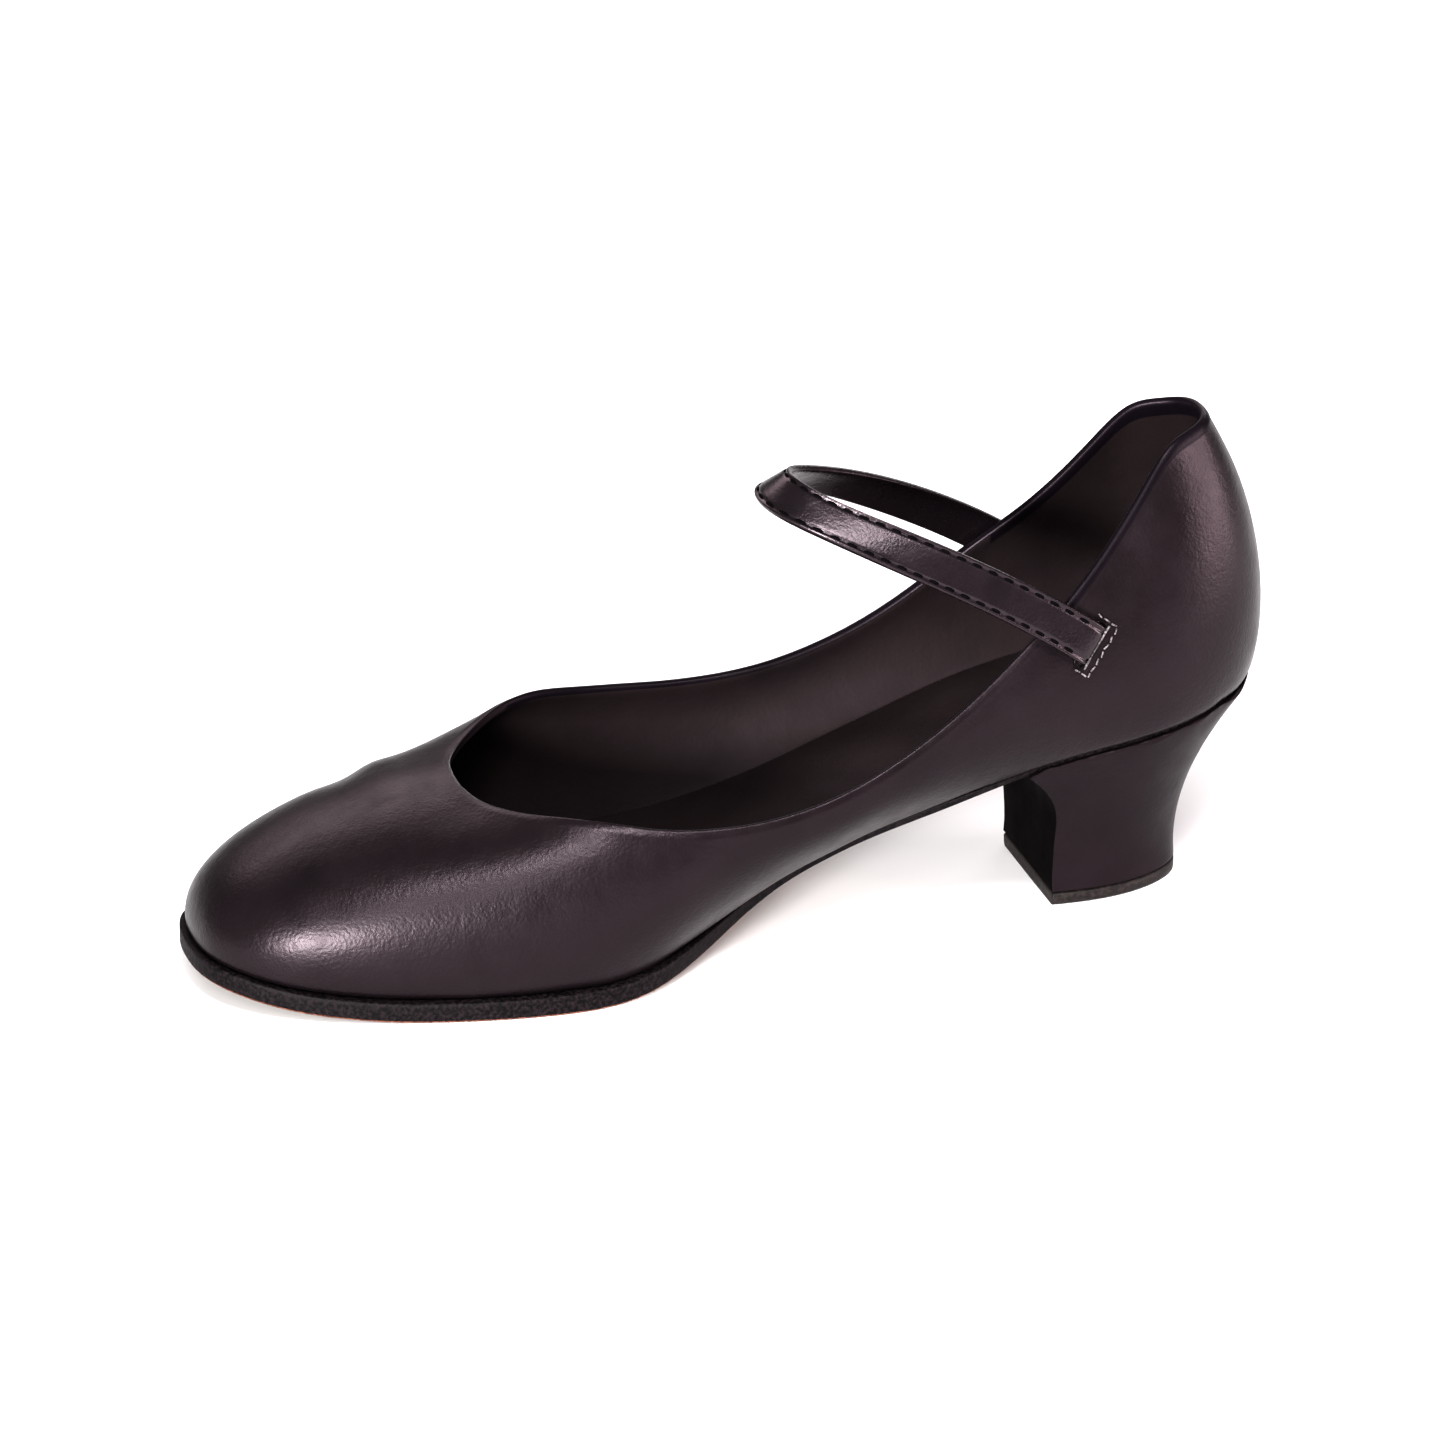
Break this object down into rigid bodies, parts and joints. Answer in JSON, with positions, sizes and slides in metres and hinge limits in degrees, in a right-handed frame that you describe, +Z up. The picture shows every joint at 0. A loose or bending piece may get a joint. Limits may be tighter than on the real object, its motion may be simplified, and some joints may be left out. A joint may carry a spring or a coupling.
{
  "type": "character shoe",
  "caption": "Closed-toe black leather dance shoe for the right foot, with a low curved covered heel, a thin leather sole and one narrow strap over the instep.",
  "frame": {"origin": "on the floor, under the middle of the shoe's bounding box", "axes": "+Z up, -Y towards the toe, +X towards the inner (medial) side of this right shoe"},
  "size_m": [0.0798, 0.24, 0.1064],
  "materials": {
    "black_leather": "satin smooth black leather with a fine grain",
    "dark_lining": "matt dark lining leather",
    "black_sole": "matt black buffed sole leather",
    "heel_leather": "satin black leather cover",
    "black_rubber": "matt black rubber",
    "strap_leather": "glossy black leather"
  },
  "bodies": {
    "root": {"upper": "black_leather", "insole": "dark_lining", "outsole": "black_sole", "heel": "heel_leather", "heel_top_piece": "black_rubber", "instep_strap": "strap_leather"}
  },
  "joints": []
}
